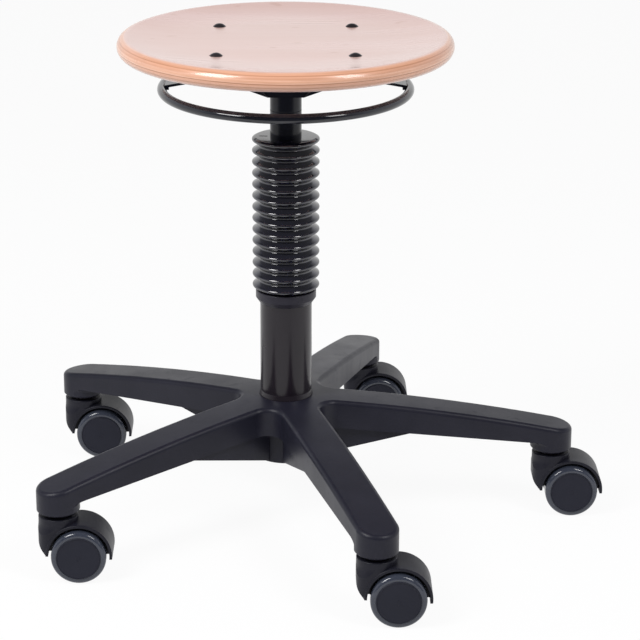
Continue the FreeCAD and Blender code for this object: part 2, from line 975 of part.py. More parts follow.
def hood_arch():
    """Half-round shell over both wheels, solid until the wheels are cut out."""
    half = hood_half_width
    disc = turned(
        [
            (0.0, -half),
            (hood_radius, -half, hood_edge),
            (hood_radius, half, hood_edge),
            (0.0, half),
        ],
        "y",
    )
    disc = moved(disc, caster_trail, 0, axle_height)
    span = hood_radius + 1.0
    front_low = axle_height + hood_front_tip - 2.0 * span
    rear_low = axle_height + hood_rear_tip - 2.0 * span
    front = Part.makeBox(span, 2.0 * half, 2.0 * span, vec(caster_trail - span, -half, front_low))
    rear = Part.makeBox(span, 2.0 * half, 2.0 * span, vec(caster_trail, -half, rear_low))
    return disc.cut(front).cut(rear)


def hood_chest():
    """Body around the stem, round at the neck and wider over the wheels."""
    neck = hood_neck_radius
    half = hood_half_width - hood_lip
    tip = caster_trail - hood_radius
    low = axle_height + hood_front_tip
    side = side_profile(
        [
            (tip, low),
            (-neck, low + hood_belly, hood_nose_fillet),
            (-neck, hood_top),
            (neck, hood_top),
            (neck, low),
        ],
        -hood_half_width,
        hood_half_width,
    )
    plan = extruded(
        [
            (-neck, -half, hood_corner),
            (neck, -half),
            (neck, half),
            (-neck, half, hood_corner),
        ],
        0.0,
        hood_top,
    )
    flare = turned(
        [
            (0.0, 0.0),
            (half + neck, 0.0),
            (half + hood_flare, axle_height + hood_belly, hood_flare_fillet),
            (neck, hood_top - hood_neck_length, hood_neck_fillet),
            (neck, hood_top, hood_edge),
            (0.0, hood_top),
        ]
    )
    return side.common(plan).common(flare)


def make_hood():
    """Caster housing about its own stem axis, with the wheels trailing along +X."""
    inner = wheel_radius + hood_clearance
    web_half = hood_web / 2.0
    depth = hood_half_width + 1.0 - web_half
    shape = hood_arch().fuse(hood_chest())
    for y in (-hood_half_width - 1.0, web_half):
        shape = shape.cut(cross_bar(inner, caster_trail, axle_height, y, y + depth))
    boss = cross_bar(axle_boss_radius, caster_trail, axle_height, -web_half, web_half)
    axle_bore = cross_bar(axle_radius, caster_trail, axle_height, -web_half - 1.0, web_half + 1.0)
    shape = shape.fuse(boss).cut(axle_bore)
    tail = rod(stem_tail_radius + running_fit, stem_tail_floor() - free_gap, hood_top + 1.0)
    return single(shape.cut(tail))


def stem_tail_floor():
    return hood_top + free_gap - stem_tail_length


def grip_ring_floor():
    return foot_bottom + socket_depth - grip_ring_drop


def make_stem():
    """Grip-ring stem: upper pin in the base, flange in the gap, lower pin in the hood."""
    flange_low = hood_top + free_gap
    ring_low = grip_ring_floor()
    groove = stem_radius - grip_ring_groove
    stem_top = foot_bottom + socket_depth - stem_end_gap
    return turned(
        [
            (0.0, stem_tail_floor()),
            (stem_tail_radius, stem_tail_floor()),
            (stem_tail_radius, flange_low),
            (stem_flange_radius, flange_low),
            (stem_flange_radius, foot_bottom),
            (stem_radius, foot_bottom),
            (stem_radius, ring_low),
            (groove, ring_low),
            (groove, ring_low + grip_ring_height),
            (stem_radius, ring_low + grip_ring_height),
            (stem_radius, stem_top),
            (0.0, stem_top),
        ]
    )


def make_grip_ring():
    """Split spring ring that holds the stem in its socket."""
    ring_low = grip_ring_floor()
    ring = tube(stem_radius, stem_radius - grip_ring_groove, ring_low, ring_low + grip_ring_height)
    reach = stem_radius + 1.0
    height = grip_ring_height + 2.0
    split = Part.makeBox(reach, grip_ring_split, height, vec(0, -grip_ring_split / 2.0, ring_low - 1.0))
    return ring.cut(split)


def axle_half_length():
    return wheel_gap / 2.0 + wheel_width - wheel_disc_thickness - axle_end_gap


def make_axle():
    half = axle_half_length()
    return cross_bar(axle_radius, caster_trail, axle_height, -half, half)


def wheel_shapes(side):
    """Core and tread of one wheel, on the side of the hood given by -1 or 1."""
    near = wheel_gap / 2.0
    far = near + wheel_width
    rim = wheel_radius - tread_depth
    bore = axle_radius + running_fit
    hub = axle_radius + wheel_hub_wall
    disc = far - wheel_disc_thickness
    pocket = axle_half_length() + free_gap
    core = turned(
        [
            (bore, near),
            (hub, near),
            (hub, disc),
            (rim - wheel_rim_wall, disc),
            (rim - wheel_rim_wall, near + tread_inset),
            (rim, near + tread_inset),
            (rim, far, wheel_edge),
            (0.0, far),
            (0.0, pocket),
            (bore, pocket),
        ],
        "y",
    )
    tread = turned(
        [
            (rim, near + tread_inset),
            (wheel_radius, near + tread_inset, tread_inner_edge),
            (wheel_radius, far - disc_proud, tread_shoulder),
            (rim, far - disc_proud),
        ],
        "y",
    )
    shapes = []
    for shape in (core, tread):
        if side < 0:
            shape = shape.mirror(vec(0, 0, 0), vec(0, 1, 0))
        shapes.append(moved(shape, caster_trail, 0, axle_height))
    return shapes


def caster_nodes():
    nodes = {}
    hood = make_hood()
    axle = make_axle()
    for i, name in enumerate(sides):
        x, y = arm_point(arm_reach, i)
        nodes["hood_" + name] = moved(hood, x, y)
        nodes["axle_" + name] = moved(axle, x, y)
        for letter, side in (("a", -1), ("b", 1)):
            core, tread = wheel_shapes(side)
            nodes["wheel_" + name + "_" + letter] = moved(core, x, y)
            nodes["tread_" + name + "_" + letter] = moved(tread, x, y)
    return nodes


def all_nodes():
    nodes = {
        "star_base": make_star_base(),
        "caster_stems": at_each_foot(make_stem()),
        "grip_rings": at_each_foot(make_grip_ring()),
        "column_tube": make_column_tube(),
        "column_bottom_plate": make_bottom_plate(),
        "guide_bush": make_guide_bush(),
        "bearing_lower_race": make_lower_race(),
        "bearing_upper_race": make_upper_race(),
        "bearing_cage": make_bearing_cage(),
        "bump_stop": make_bump_stop(),
        "rod_clip": make_rod_clip(),
        "piston_rod": make_piston_rod(),
        "piston": make_piston(),
        "piston_seal": make_piston_seal(),
        "bellows": make_bellows(),
        "bellows_collar": make_collar(),
        "pressure_tube": make_pressure_tube(),
        "inner_tube": make_inner_tube(),
        "rod_guide": make_rod_guide(),
        "valve_body": make_valve_body(),
        "valve_pin": make_valve_pin(),
        "bellows_cuff": make_cuff(),
        "seat_socket": make_seat_socket(),
        "seat_plate": make_seat_plate(),
        "ring_pivot_pin": make_pivot_pin(),
        "release_ring": make_ring(),
        "release_lever": make_lever(),
        "seat_board": make_seat_board(),
        "seat_bolts": make_seat_bolts(),
        "seat_nuts": make_seat_nuts(),
    }
    nodes.update(caster_nodes())
    return nodes


def report_heights():
    print("seat rim top", round(seat_face + seat_dish, 2), "seat face", round(seat_face, 2))
    print("ring height", round(ring_height, 2), "pivot", pivot_offset, round(pivot_height(), 3))
    print("bellows from", round(collar_top, 2), "to", round(bellows_top, 2))
    print("hub top", round(hub_top, 2), "column top", round(column_top, 2))


os.makedirs("parts", exist_ok=True)
for node, solid in all_nodes().items():
    problems = [s for s in solid.Solids if not s.isValid()]
    print(node, len(solid.Solids), round(solid.Volume, 1), "invalid" if problems else "")
    solid.exportStep("parts/" + node + ".step")
report_heights()
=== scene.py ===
import json
import math
import bpy
from mathutils import Matrix, Vector


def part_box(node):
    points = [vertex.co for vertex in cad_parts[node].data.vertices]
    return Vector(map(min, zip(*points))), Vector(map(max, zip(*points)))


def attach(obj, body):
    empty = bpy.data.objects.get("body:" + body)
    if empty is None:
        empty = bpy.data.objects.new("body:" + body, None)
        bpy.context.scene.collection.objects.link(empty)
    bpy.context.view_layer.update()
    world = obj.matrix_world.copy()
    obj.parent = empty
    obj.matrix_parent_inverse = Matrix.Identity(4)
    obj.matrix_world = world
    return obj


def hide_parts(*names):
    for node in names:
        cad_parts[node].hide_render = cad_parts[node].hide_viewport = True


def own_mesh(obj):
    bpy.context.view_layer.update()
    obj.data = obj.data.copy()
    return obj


# Machinist stool: beech ply seat, black steel lift and ribbed bellows, moulded star base on casters.

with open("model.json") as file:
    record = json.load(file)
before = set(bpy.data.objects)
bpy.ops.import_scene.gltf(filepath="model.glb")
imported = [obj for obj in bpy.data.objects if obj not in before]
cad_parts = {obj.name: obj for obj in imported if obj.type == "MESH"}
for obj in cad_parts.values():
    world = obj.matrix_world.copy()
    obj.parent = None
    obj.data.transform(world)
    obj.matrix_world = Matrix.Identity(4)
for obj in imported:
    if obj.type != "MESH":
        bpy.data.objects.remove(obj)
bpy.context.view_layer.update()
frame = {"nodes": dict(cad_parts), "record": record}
nodes = frame["nodes"]
casterSides = ["right", "back_right", "back_left", "front_left", "front_right"]
print("loaded", len(nodes), "nodes")


# Node trees

def addNode(tree, kind, place, **settings):
    node = tree.nodes.new(kind)
    node.location = place
    for name, value in settings.items():
        setattr(node, name, value)
    return node


def mathNode(tree, operation, place, a, b=None, c=None, clamp=False):
    node = addNode(tree, "ShaderNodeMath", place, operation=operation, use_clamp=clamp)
    for index, value in enumerate((a, b, c)):
        if value is None:
            continue
        if isinstance(value, (int, float)):
            node.inputs[index].default_value = value
        else:
            tree.links.new(value, node.inputs[index])
    return node.outputs[0]


def mapRange(tree, place, value, low, high, outLow, outHigh):
    node = addNode(tree, "ShaderNodeMapRange", place, clamp=True)
    tree.links.new(value, node.inputs["Value"])
    limits = {"From Min": low, "From Max": high, "To Min": outLow, "To Max": outHigh}
    for name, number in limits.items():
        node.inputs[name].default_value = number
    return node.outputs["Result"]


def mixColour(tree, place, factor, a, b, blend="MIX"):
    node = addNode(tree, "ShaderNodeMix", place, data_type="RGBA", blend_type=blend)
    for index, value in ((0, factor), (6, a), (7, b)):
        if isinstance(value, bpy.types.NodeSocket):
            tree.links.new(value, node.inputs[index])
        else:
            node.inputs[index].default_value = value if index == 0 else (*value, 1.0)
    return node.outputs[2]


def newGroup(name, inputs, outputs):
    group = bpy.data.node_groups.new(name, "ShaderNodeTree")
    for label, kind, value in inputs:
        socket = group.interface.new_socket(name=label, in_out="INPUT", socket_type=kind)
        if value is not None:
            socket.default_value = value
    for label, kind in outputs:
        group.interface.new_socket(name=label, in_out="OUTPUT", socket_type=kind)
    start = addNode(group, "NodeGroupInput", (-900, 0))
    end = addNode(group, "NodeGroupOutput", (900, 0))
    return group, start.outputs, end.inputs


def placeGroup(tree, group, place, **values):
    node = addNode(tree, "ShaderNodeGroup", place, node_tree=group)
    for name, value in values.items():
        if isinstance(value, bpy.types.NodeSocket):
            tree.links.new(value, node.inputs[name])
        else:
            node.inputs[name].default_value = value
    return node.outputs


# Shared effects

mouldTexture = {
    "speckleSize": 0.6,
    "speckleDetail": 2.0,
    "speckleHeight": 0.6,
    "speckleTone": 0.5,
    "cloudScale": 26.0,
    "cloudDetail": 3.0,
    "toneRange": (0.45, 1.05),
}


def makeMouldGrain(form):
    # fine pebbled texture that a plastic part takes from its mould
    group, start, end = newGroup(
        "mouldGrain",
        [("Vector", "NodeSocketVector", None), ("Size", "NodeSocketFloat", 1400.0)],
        [("Height", "NodeSocketFloat"), ("Tone", "NodeSocketFloat")],
    )
    pebbles = addNode(group, "ShaderNodeTexVoronoi", (-500, 200), feature="SMOOTH_F1")
    speckle = addNode(group, "ShaderNodeTexNoise", (-500, -100))
    cloud = addNode(group, "ShaderNodeTexNoise", (-500, -400))
    speckle.inputs["Detail"].default_value = form["speckleDetail"]
    cloud.inputs["Scale"].default_value = form["cloudScale"]
    cloud.inputs["Detail"].default_value = form["cloudDetail"]
    for texture in (pebbles, speckle, cloud):
        group.links.new(start["Vector"], texture.inputs["Vector"])
    group.links.new(start["Size"], pebbles.inputs["Scale"])
    speckleScale = mathNode(group, "MULTIPLY", (-700, -100), start["Size"], form["speckleSize"])
    group.links.new(speckleScale, speckle.inputs["Scale"])
    speckles = speckle.outputs["Fac"]
    bumps = mathNode(
        group, "MULTIPLY_ADD", (-200, 150), speckles, form["speckleHeight"], pebbles.outputs["Distance"]
    )
    group.links.new(bumps, end["Height"])
    tone = mathNode(group, "MULTIPLY_ADD", (-200, -200), speckles, form["speckleTone"], cloud.outputs["Fac"])
    group.links.new(mapRange(group, (100, -200), tone, *form["toneRange"], 0.0, 1.0), end["Tone"])
    return group


handlingMarks = {
    "stretch": (1.0, 1.0, 0.25),
    "smearDetail": 4.0,
    "smearRoughness": 0.6,
    "smearRange": (0.35, 0.7),
    "scuffSize": 3.0,
    "scuffDetail": 6.0,
    "scuffDistortion": 0.6,
    "scuffRange": (0.6, 0.75),
}


def makeHandling(form):
    # faint wiping marks and finger smears that change the gloss
    group, start, end = newGroup(
        "handling",
        [("Vector", "NodeSocketVector", None), ("Size", "NodeSocketFloat", 40.0)],
        [("Smear", "NodeSocketFloat"), ("Scuff", "NodeSocketFloat")],
    )
    stretch = addNode(group, "ShaderNodeMapping", (-650, 100))
    stretch.inputs["Scale"].default_value = form["stretch"]
    smear = addNode(group, "ShaderNodeTexNoise", (-400, 100))
    scuff = addNode(group, "ShaderNodeTexNoise", (-400, -200))
    smear.inputs["Detail"].default_value = form["smearDetail"]
    smear.inputs["Roughness"].default_value = form["smearRoughness"]
    scuff.inputs["Detail"].default_value = form["scuffDetail"]
    scuff.inputs["Distortion"].default_value = form["scuffDistortion"]
    group.links.new(start["Vector"], stretch.inputs["Vector"])
    group.links.new(stretch.outputs["Vector"], smear.inputs["Vector"])
    group.links.new(start["Vector"], scuff.inputs["Vector"])
    group.links.new(start["Size"], smear.inputs["Scale"])
    scuffScale = mathNode(group, "MULTIPLY", (-650, -200), start["Size"], form["scuffSize"])
    group.links.new(scuffScale, scuff.inputs["Scale"])
    smears = mapRange(group, (0, 100), smear.outputs["Fac"], *form["smearRange"], 0.0, 1.0)
    scuffs = mapRange(group, (0, -200), scuff.outputs["Fac"], *form["scuffRange"], 0.0, 1.0)
    group.links.new(smears, end["Smear"])
    group.links.new(scuffs, end["Scuff"])
    return group


beechTexture = {
    "broad": {"stretch": (2.2, 26.0, 26.0), "detail": 3.0, "distortion": 0.25},
    "fine": {"stretch": (9.0, 330.0, 330.0), "detail": 4.0, "distortion": 0.1},
    "fleck": {"stretch": (95.0, 900.0, 900.0), "detail": 1.0, "distortion": 0.0},
    "mark": {"stretch": (60.0, 95.0, 95.0), "detail": 0.0, "distortion": 0.2},
}

beechRanges = {
    "fineShare": 0.45,
    "grain": (0.5, 0.95),
    "fleck": (0.62, 0.74),
    "mark": (0.76, 0.84),
}


def makeBeechGrain(layers, ranges):
    # straight grain along X with short darker flecks and a few pin marks
    group, start, end = newGroup(
        "beechGrain",
        [("Vector", "NodeSocketVector", None)],
        [("Grain", "NodeSocketFloat"), ("Fleck", "NodeSocketFloat"), ("Mark", "NodeSocketFloat")],
    )
    results = {}
    for row, (label, layer) in enumerate(layers.items()):
        height = 500 - 250 * row
        stretch = addNode(group, "ShaderNodeMapping", (-500, height))
        stretch.inputs["Scale"].default_value = layer["stretch"]
        noise = addNode(group, "ShaderNodeTexNoise", (-250, height))
        noise.inputs["Scale"].default_value = 1.0
        noise.inputs["Detail"].default_value = layer["detail"]
        noise.inputs["Distortion"].default_value = layer["distortion"]
        group.links.new(start["Vector"], stretch.inputs["Vector"])
        group.links.new(stretch.outputs["Vector"], noise.inputs["Vector"])
        results[label] = noise.outputs["Fac"]
    grain = mathNode(group, "MULTIPLY_ADD", (100, 400), results["fine"], ranges["fineShare"], results["broad"])
    grain = mapRange(group, (300, 400), grain, *ranges["grain"], 0.0, 1.0)
    fleck = mapRange(group, (300, 0), results["fleck"], *ranges["fleck"], 0.0, 1.0)
    mark = mapRange(group, (300, -250), results["mark"], *ranges["mark"], 0.0, 1.0)
    group.links.new(grain, end["Grain"])
    group.links.new(fleck, end["Fleck"])
    group.links.new(mark, end["Mark"])
    return group


mouldGrain = makeMouldGrain(mouldTexture)
handling = makeHandling(handlingMarks)
beechGrain = makeBeechGrain(beechTexture, beechRanges)
print("built shared effects")


# Materials

def startMaterial(name):
    material = bpy.data.materials.new(name)
    material.use_nodes = True
    tree = material.node_tree
    tree.nodes.clear()
    shader = addNode(tree, "ShaderNodeBsdfPrincipled", (700, 0))
    output = addNode(tree, "ShaderNodeOutputMaterial", (1000, 0))
    tree.links.new(shader.outputs["BSDF"], output.inputs["Surface"])
    coordinates = addNode(tree, "ShaderNodeTexCoord", (-1200, 0))
    return material, tree, shader.inputs, coordinates.outputs["Object"]


def addBump(tree, shaderInputs, height, strength, depth):
    bump = addNode(tree, "ShaderNodeBump", (450, -400))
    bump.inputs["Strength"].default_value = strength
    bump.inputs["Distance"].default_value = depth
    tree.links.new(height, bump.inputs["Height"])
    tree.links.new(bump.outputs["Normal"], shaderInputs["Normal"])


def addWear(tree, shaderInputs, marks, rough, wear):
    # smears and scuffs change the gloss about the roughness of the finish
    clean = rough + wear["offset"]
    smeared = mathNode(tree, "MULTIPLY_ADD", (-300, -100), marks["Smear"], wear["smear"], clean)
    worn = mathNode(tree, "MULTIPLY_ADD", (0, -100), marks["Scuff"], wear["scuff"], smeared)
    tree.links.new(worn, shaderInputs["Roughness"])


plasticFinishes = {
    "base_nylon": {
        "dark": (0.010, 0.010, 0.018), "light": (0.017, 0.017, 0.028),
        "rough": 0.38, "grain": 1300.0, "depth": 0.00006, "specular": 0.24,
    },
    "hood_nylon": {
        "dark": (0.008, 0.008, 0.014), "light": (0.013, 0.013, 0.021),
        "rough": 0.40, "grain": 1700.0, "depth": 0.00005, "specular": 0.22,
    },
    "wheel_plastic": {
        "dark": (0.011, 0.012, 0.021), "light": (0.015, 0.016, 0.027),
        "rough": 0.50, "grain": 2200.0, "depth": 0.00003, "specular": 0.22,
    },
    "collar_plastic": {
        "dark": (0.015, 0.014, 0.022), "light": (0.022, 0.020, 0.031),
        "rough": 0.38, "grain": 2200.0, "depth": 0.00003, "specular": 0.30,
    },
    "bush_plastic": {
        "dark": (0.70, 0.69, 0.65), "light": (0.80, 0.79, 0.75),
        "rough": 0.35, "grain": 1500.0, "depth": 0.00002, "specular": 0.5,
    },
}

plasticWear = {"marks": 30.0, "smear": -0.07, "offset": 0.03, "scuff": 0.08, "bump": 0.6}


def makePlastic(name, values):
    material, tree, shaderInputs, place = startMaterial(name)
    grain = placeGroup(tree, mouldGrain, (-800, 200), Vector=place, Size=values["grain"])
    marks = placeGroup(tree, handling, (-800, -200), Vector=place, Size=plasticWear["marks"])
    colour = mixColour(tree, (-300, 300), grain["Tone"], values["dark"], values["light"])
    tree.links.new(colour, shaderInputs["Base Color"])
    addWear(tree, shaderInputs, marks, values["rough"], plasticWear)
    shaderInputs["Specular IOR Level"].default_value = values["specular"]
    addBump(tree, shaderInputs, grain["Height"], plasticWear["bump"], values["depth"])
    return material


paintFinishes = {
    "black_steel": {
        "colour": (0.010, 0.007, 0.011), "tint": (0.015, 0.011, 0.016),
        "rough": 0.22, "ripple": 0.000006, "specular": 0.40, "coat": 0.0,
    },
    "socket_paint": {
        "colour": (0.003, 0.004, 0.009), "tint": (0.005, 0.006, 0.013),
        "rough": 0.16, "ripple": 0.000008, "specular": 0.32, "coat": 0.0,
    },
    "ring_paint": {
        "colour": (0.003, 0.004, 0.010), "tint": (0.006, 0.007, 0.015),
        "rough": 0.10, "ripple": 0.000005, "specular": 0.60, "coat": 0.15,
    },
    "bolt_black": {
        "colour": (0.015, 0.012, 0.014), "tint": (0.025, 0.020, 0.023),
        "rough": 0.34, "ripple": 0.00001, "specular": 0.40, "coat": 0.0,
    },
}

paintWear = {
    "marks": 22.0, "smear": 0.06, "offset": -0.03, "scuff": 0.07,
    "rippleScale": 420.0, "rippleDetail": 2.0, "coatRough": 0.5,
}


def makePaint(name, values):
    material, tree, shaderInputs, place = startMaterial(name)
    marks = placeGroup(tree, handling, (-800, 0), Vector=place, Size=paintWear["marks"])
    colour = mixColour(tree, (-300, 300), marks["Smear"], values["colour"], values["tint"])
    tree.links.new(colour, shaderInputs["Base Color"])
    addWear(tree, shaderInputs, marks, values["rough"], paintWear)
    shaderInputs["Specular IOR Level"].default_value = values["specular"]
    shaderInputs["Coat Weight"].default_value = values["coat"]
    shaderInputs["Coat Roughness"].default_value = values["rough"] * paintWear["coatRough"]
    ripple = addNode(tree, "ShaderNodeTexNoise", (-300, -450))
    ripple.inputs["Scale"].default_value = paintWear["rippleScale"]
    ripple.inputs["Detail"].default_value = paintWear["rippleDetail"]
    tree.links.new(place, ripple.inputs["Vector"])
    addBump(tree, shaderInputs, ripple.outputs["Fac"], 1.0, values["ripple"])
    return material


metalFinishes = {
    "zinc_steel": {"colour": (0.52, 0.53, 0.55), "tint": (0.62, 0.62, 0.60), "rough": 0.34},
    "bearing_steel": {"colour": (0.58, 0.58, 0.60), "tint": (0.66, 0.66, 0.67), "rough": 0.16},
}

metalWear = {"marks": 60.0, "scuff": 0.12, "bump": 0.3, "depth": 0.00002}


def makeMetal(name, values):
    material, tree, shaderInputs, place = startMaterial(name)
    marks = placeGroup(tree, handling, (-800, 0), Vector=place, Size=metalWear["marks"])
    colour = mixColour(tree, (-300, 300), marks["Smear"], values["colour"], values["tint"])
    tree.links.new(colour, shaderInputs["Base Color"])
    rough = mathNode(tree, "MULTIPLY_ADD", (0, -100), marks["Scuff"], metalWear["scuff"], values["rough"])
    tree.links.new(rough, shaderInputs["Roughness"])
    shaderInputs["Metallic"].default_value = 1.0
    addBump(tree, shaderInputs, marks["Scuff"], metalWear["bump"], metalWear["depth"])
    return material


rubberFinishes = {
    "tread_rubber": {
        "dark": (0.030, 0.035, 0.052), "light": (0.040, 0.046, 0.066),
        "rough": 0.12, "specular": 0.60, "ior": 1.5,
    },
    "bump_rubber": {
        "dark": (0.020, 0.020, 0.021), "light": (0.030, 0.030, 0.031),
        "rough": 0.62, "specular": 0.4, "ior": 1.5,
    },
    "bellows_plastic": {
        "dark": (0.002, 0.002, 0.008), "light": (0.005, 0.005, 0.013),
        "rough": 0.09, "specular": 1.0, "ior": 1.60,
    },
}

rubberWear = {
    "grain": 500.0, "marks": 34.0, "smear": 0.06, "offset": -0.02, "scuff": 0.05,
    "bump": 0.5, "depth": 0.000006,
}


def makeRubber(name, values):
    material, tree, shaderInputs, place = startMaterial(name)
    grain = placeGroup(tree, mouldGrain, (-800, 200), Vector=place, Size=rubberWear["grain"])
    marks = placeGroup(tree, handling, (-800, -200), Vector=place, Size=rubberWear["marks"])
    colour = mixColour(tree, (-300, 300), grain["Tone"], values["dark"], values["light"])
    tree.links.new(colour, shaderInputs["Base Color"])
    addWear(tree, shaderInputs, marks, values["rough"], rubberWear)
    shaderInputs["Specular IOR Level"].default_value = values["specular"]
    shaderInputs["IOR"].default_value = values["ior"]
    addBump(tree, shaderInputs, grain["Height"], rubberWear["bump"], rubberWear["depth"])
    return material


beechBoard = {
    "middle": 0.465195,
    "flat": 0.080,
    "bend": 0.4205,
    "thickness": 0.018,
    "face": (0.675, 0.465, 0.425),
    "faceDark": (0.635, 0.420, 0.368),
    "pore": (0.44, 0.230, 0.150),
    "streak": (0.52, 0.250, 0.150),
    "plies": (
        (0.00, (0.68, 0.470, 0.400)),
        (0.09, (0.72, 0.450, 0.350)),
        (0.17, (0.70, 0.390, 0.260)),
        (0.20, (0.46, 0.210, 0.120)),
        (0.23, (0.72, 0.400, 0.270)),
        (0.34, (0.74, 0.410, 0.275)),
        (0.375, (0.36, 0.140, 0.070)),
        (0.41, (0.80, 0.500, 0.360)),
        (0.50, (0.72, 0.390, 0.255)),
        (0.58, (0.80, 0.480, 0.340)),
        (0.65, (0.62, 0.310, 0.190)),
        (0.75, (0.72, 0.390, 0.255)),
        (0.80, (0.48, 0.220, 0.125)),
        (0.84, (0.70, 0.370, 0.235)),
        (0.93, (0.72, 0.400, 0.270)),
        (1.00, (0.80, 0.550, 0.450)),
    ),
    "edgeTone": (1.00, 0.98, 0.98),
    "edgeShows": (0.45, 0.490),
    "wander": 0.045,
    "wanderScale": 11.0,
    "fibres": (30.0, 30.0, 1500.0),
    "streakRange": (0.48, 0.75),
    "streakShare": 0.55,
    "fleckShare": 0.22,
    "markShare": 0.35,
    "rough": 0.28,
    "grainGloss": 0.05,
    "grainDull": 0.03,
    "coat": 0.55,
    "coatRough": 0.14,
    "streakRelief": -1.5,
    "fleckRelief": -0.4,
    "relief": 0.00003,
}


def boardShare(tree, place, values):
    # share of the board's thickness at which a point lies, from 0 at the underside to 1 on top
    split = addNode(tree, "ShaderNodeSeparateXYZ", (-1000, -300))
    tree.links.new(place, split.inputs["Vector"])
    acrossX = mathNode(tree, "MULTIPLY", (-950, -250), split.outputs["X"], split.outputs["X"])
    acrossY = mathNode(tree, "MULTIPLY", (-950, -350), split.outputs["Y"], split.outputs["Y"])
    radius = mathNode(tree, "POWER", (-850, -300), mathNode(tree, "ADD", (-900, -300), acrossX, acrossY), 0.5)
    beyond = mathNode(tree, "SUBTRACT", (-780, -300), radius, values["flat"])
    beyond = mathNode(tree, "MAXIMUM", (-700, -300), beyond, 0.0)
    sweep = mathNode(tree, "MULTIPLY", (-620, -300), beyond, beyond)
    middle = mathNode(tree, "MULTIPLY_ADD", (-540, -300), sweep, 0.5 / values["bend"], values["middle"])
    depth = mathNode(tree, "SUBTRACT", (-460, -300), split.outputs["Z"], middle)
    return mathNode(tree, "MULTIPLY_ADD", (-380, -300), depth, 1.0 / values["thickness"], 0.5, clamp=True)


def plyLayers(tree, place, share, values):
    # the layers of the edge run along the rim, so they wander slowly in plan and change fast in height
    drift = addNode(tree, "ShaderNodeTexNoise", (-380, -550))
    drift.inputs["Scale"].default_value = values["wanderScale"]
    drift.inputs["Detail"].default_value = 2.0
    tree.links.new(place, drift.inputs["Vector"])
    wander = values["wander"]
    shift = mathNode(tree, "MULTIPLY_ADD", (-300, -450), drift.outputs["Fac"], 2.0 * wander, -wander)
    layers = addNode(tree, "ShaderNodeValToRGB", (-60, -300))
    ramp = layers.color_ramp
    while len(ramp.elements) < len(values["plies"]):
        ramp.elements.new(0.5)
    for element, (height, colour) in zip(ramp.elements, values["plies"]):
        element.position = height
        element.color = (*colour, 1.0)
    tree.links.new(mathNode(tree, "ADD", (-200, -300), share, shift), layers.inputs["Fac"])
    return layers.outputs["Color"]


def plyStreaks(tree, place, values):
    fibres = addNode(tree, "ShaderNodeMapping", (-500, -800))
    fibres.inputs["Scale"].default_value = values["fibres"]
    tree.links.new(place, fibres.inputs["Vector"])
    streaks = addNode(tree, "ShaderNodeTexNoise", (-300, -800))
    streaks.inputs["Scale"].default_value = 1.0
    streaks.inputs["Detail"].default_value = 3.0
    tree.links.new(fibres.outputs["Vector"], streaks.inputs["Vector"])
    return mapRange(
        tree, (-100, -800), streaks.outputs["Fac"], *values["streakRange"], 0.0, values["streakShare"]
    )


def makeBeech(values):
    material, tree, shaderInputs, place = startMaterial("beech_ply")
    share = boardShare(tree, place, values)
    streak = plyStreaks(tree, place, values)
    edge = mixColour(tree, (300, -100), streak, plyLayers(tree, place, share, values), values["streak"])
    edge = mixColour(tree, (400, -100), 1.0, edge, values["edgeTone"], "MULTIPLY")

    grain = placeGroup(tree, beechGrain, (-200, 400), Vector=place)
    fleck = mathNode(tree, "MULTIPLY", (100, 350), grain["Fleck"], values["fleckShare"])
    mark = mathNode(tree, "MULTIPLY", (250, 350), grain["Mark"], values["markShare"])
    face = mixColour(tree, (100, 500), grain["Grain"], values["faceDark"], values["face"])
    face = mixColour(tree, (250, 500), fleck, face, values["faceDark"])
    face = mixColour(tree, (400, 500), mark, face, values["pore"])

    # how far a point is from the two faces of the board decides which of the two colours shows
    toFace = mathNode(tree, "SUBTRACT", (-220, -600), share, 0.5)
    toFace = mathNode(tree, "ABSOLUTE", (-140, -600), toFace)
    onEdge = mapRange(tree, (20, -600), toFace, *values["edgeShows"], 1.0, 0.0)
    tree.links.new(mixColour(tree, (550, 250), onEdge, face, edge), shaderInputs["Base Color"])

    dullest = values["rough"] + values["grainDull"]
    rough = mathNode(tree, "MULTIPLY_ADD", (550, -100), grain["Grain"], -values["grainGloss"], dullest)
    tree.links.new(rough, shaderInputs["Roughness"])
    shaderInputs["Coat Weight"].default_value = values["coat"]
    shaderInputs["Coat Roughness"].default_value = values["coatRough"]
    relief = mathNode(tree, "MULTIPLY", (200, -500), streak, onEdge)
    relief = mathNode(tree, "MULTIPLY_ADD", (300, -350), relief, values["streakRelief"], grain["Grain"])
    relief = mathNode(tree, "MULTIPLY_ADD", (380, -350), grain["Fleck"], values["fleckRelief"], relief)
    addBump(tree, shaderInputs, relief, 0.5, values["relief"])
    return material


def makeMaterials():
    made = {"beech_ply": makeBeech(beechBoard)}
    for finishes, maker in (
        (plasticFinishes, makePlastic),
        (paintFinishes, makePaint),
        (metalFinishes, makeMetal),
        (rubberFinishes, makeRubber),
    ):
        for name, values in finishes.items():
            made[name] = maker(name, values)
    return made


def paintNodes(materials):
    slotOf = {part["node"]: part["material_slot"] for part in frame["record"]["subparts"]}
    for name, node in nodes.items():
        node.data.materials.clear()
        node.data.materials.append(materials[slotOf[name]])


materials = makeMaterials()
paintNodes(materials)
print("made", len(materials), "materials")


# Mesh pieces

def arcPoints(centre, radius, start, end, steps):
    points = []
    for i in range(steps + 1):
        turn = math.radians(start + (end - start) * i / steps)
        points.append((centre[0] + radius * math.cos(turn), centre[1] + radius * math.sin(turn)))
    return points


